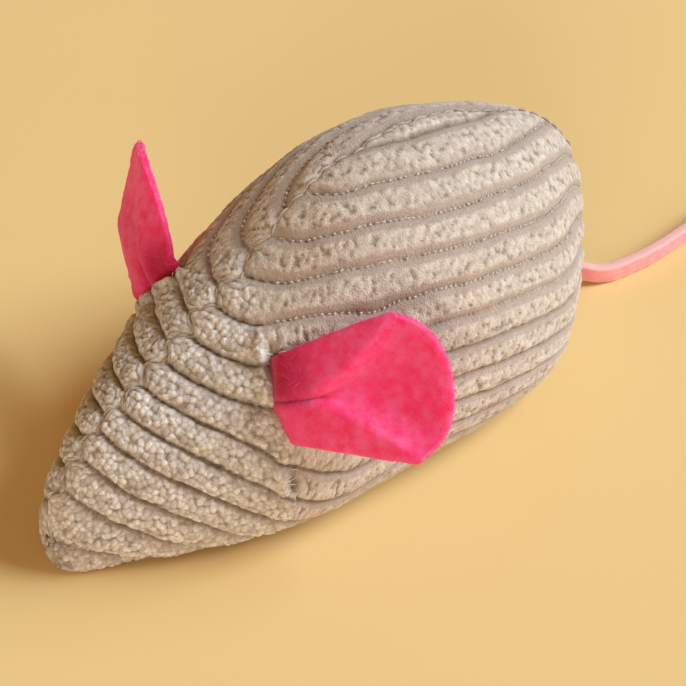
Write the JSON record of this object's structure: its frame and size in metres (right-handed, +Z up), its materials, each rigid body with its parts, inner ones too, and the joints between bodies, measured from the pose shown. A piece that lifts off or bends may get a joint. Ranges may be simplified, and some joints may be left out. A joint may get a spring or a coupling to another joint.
{
  "type": "catnip mouse",
  "caption": "Stuffed corduroy mouse for cats to chase, with two pleated felt ears that flap and a suede lace tail that swings and lifts.",
  "frame": {"origin": "on the floor, under the middle of the stuffed body", "axes": "+Z up, -Y towards the nose, +Y towards the tail, +X to the mouse's own left"},
  "size_m": [0.0615, 0.1278, 0.0395],
  "materials": {
    "corduroy": "wide-wale corduroy, soft cut pile",
    "fibrefill": "loose polyester fibre",
    "catnip": "dried crushed leaf",
    "seam_thread": "matt sewing thread",
    "ear_felt": "pressed felt, matt",
    "ear_thread": "matt sewing thread",
    "suede_lace": "soft suede"
  },
  "bodies": {
    "body": {"left_side_panel": "corduroy", "right_side_panel": "corduroy", "base_panel": "corduroy", "head_stuffing": "fibrefill", "rump_stuffing": "fibrefill", "dried_catnip": "catnip", "spine_seam_thread": "seam_thread", "left_base_seam_thread": "seam_thread", "right_base_seam_thread": "seam_thread", "left_ear_stitches": "ear_thread", "right_ear_stitches": "ear_thread"},
    "left_ear": {"left_ear": "ear_felt"},
    "right_ear": {"right_ear": "ear_felt"},
    "tail_root": {"tail_root": "suede_lace"},
    "tail": {"tail_lace": "suede_lace"}
  },
  "joints": [
    {"name": "left_ear_flap", "type": "hinge", "parent": "body", "child": "left_ear", "pos_m": [0.01409, -0.01748, 0.0216], "axis": [0.5468, -0.2247, -0.8066], "range_deg": [-12, 75], "stiffness_Nm_per_rad": 0.002},
    {"name": "right_ear_flap", "type": "hinge", "parent": "body", "child": "right_ear", "pos_m": [-0.01389, -0.01735, 0.02142], "axis": [0.5468, 0.2247, 0.8066], "range_deg": [-22, 45], "stiffness_Nm_per_rad": 0.002},
    {"name": "tail_swing", "type": "hinge", "parent": "body", "child": "tail_root", "pos_m": [0, 0.0427, 0.0026], "axis": [0, 0, 1], "range_deg": [-65, 95]},
    {"name": "tail_lift", "type": "hinge", "parent": "tail_root", "child": "tail", "pos_m": [0.0029, 0.04785, 0.00265], "axis": [0.9487, -0.3162, 0], "range_deg": [0, 75]}
  ]
}
